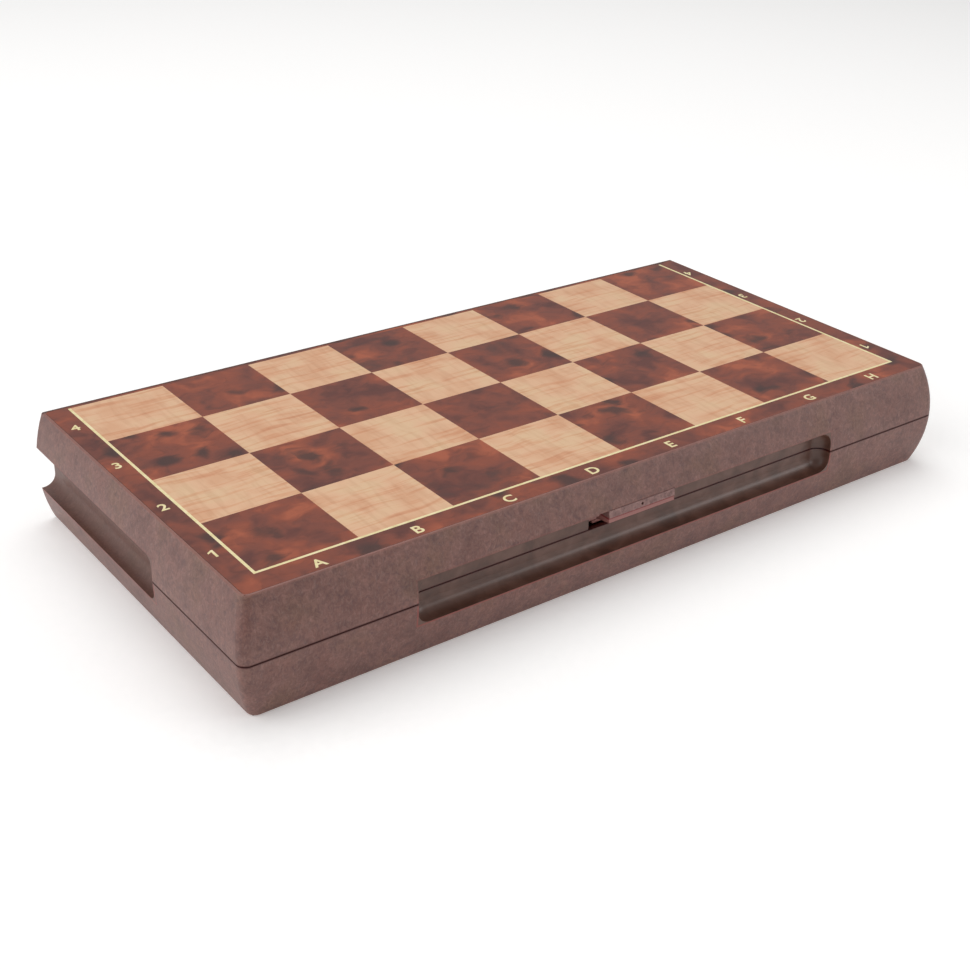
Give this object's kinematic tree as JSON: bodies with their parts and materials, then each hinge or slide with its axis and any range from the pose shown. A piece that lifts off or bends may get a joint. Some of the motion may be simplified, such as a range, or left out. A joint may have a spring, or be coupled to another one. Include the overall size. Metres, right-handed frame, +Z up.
{
  "type": "folding magnetic chess set",
  "caption": "Closed folding chess case with half of the board on each outer face, finger recesses, a sliding front latch, two rear hinges and foam trays of magnetic men inside.",
  "frame": {"origin": "middle of the closed case's bounding box, on the surface it stands on", "axes": "+X from file A to file H along the hinge, +Y from rank 1 towards the hinge, +Z up through the playing surface"},
  "size_m": [0.36, 0.1834, 0.049],
  "materials": {
    "case_plastic": "satin moulded, fine wood-like texture",
    "printed_panel": "satin print of burl and maple under a clear coat",
    "steel_sheet": "plain rolled",
    "foam": "closed-cell foam, cut",
    "light_men": "satin moulded",
    "dark_men": "satin moulded",
    "magnet": "ferrite",
    "felt": "pressed felt",
    "hinge_metal": "rolled and barrelled",
    "screw_steel": "zinc plated",
    "latch_plastic": "satin moulded"
  },
  "bodies": {
    "lower_case": {"lower_shell": "case_plastic", "lower_playing_panel": "printed_panel", "lower_steel_sheet": "steel_sheet", "lower_foam_tray": "foam", "lower_hinge_leaves": "hinge_metal", "lower_hinge_screws": "screw_steel", "light_king": "light_men", "light_queen": "light_men", "light_bishops": "light_men", "light_knights": "light_men", "light_rooks": "light_men", "light_pawns": "light_men", "light_magnets": "magnet", "light_felt_pads": "felt", "hinge_pins": "hinge_metal", "latch_keeper": "latch_plastic", "keeper_screws": "screw_steel"},
    "upper_case": {"upper_shell": "case_plastic", "upper_playing_panel": "printed_panel", "upper_steel_sheet": "steel_sheet", "upper_foam_tray": "foam", "upper_hinge_leaves": "hinge_metal", "upper_hinge_screws": "screw_steel", "dark_king": "dark_men", "dark_queen": "dark_men", "dark_bishops": "dark_men", "dark_knights": "dark_men", "dark_rooks": "dark_men", "dark_pawns": "dark_men", "dark_magnets": "magnet", "dark_felt_pads": "felt", "latch_guide": "latch_plastic", "latch_guide_screws": "screw_steel"},
    "latch": {"latch_slider": "latch_plastic"}
  },
  "joints": [
    {"name": "case_hinge", "type": "hinge", "parent": "lower_case", "child": "upper_case", "pos_m": [0, 0.08955, 0.0245], "axis": [-1, 0, 0], "range_deg": [0, 180]},
    {"name": "latch_slide", "type": "slide", "parent": "upper_case", "child": "latch", "axis": [-1, 0, 0], "range_m": [0, 0.005]}
  ]
}
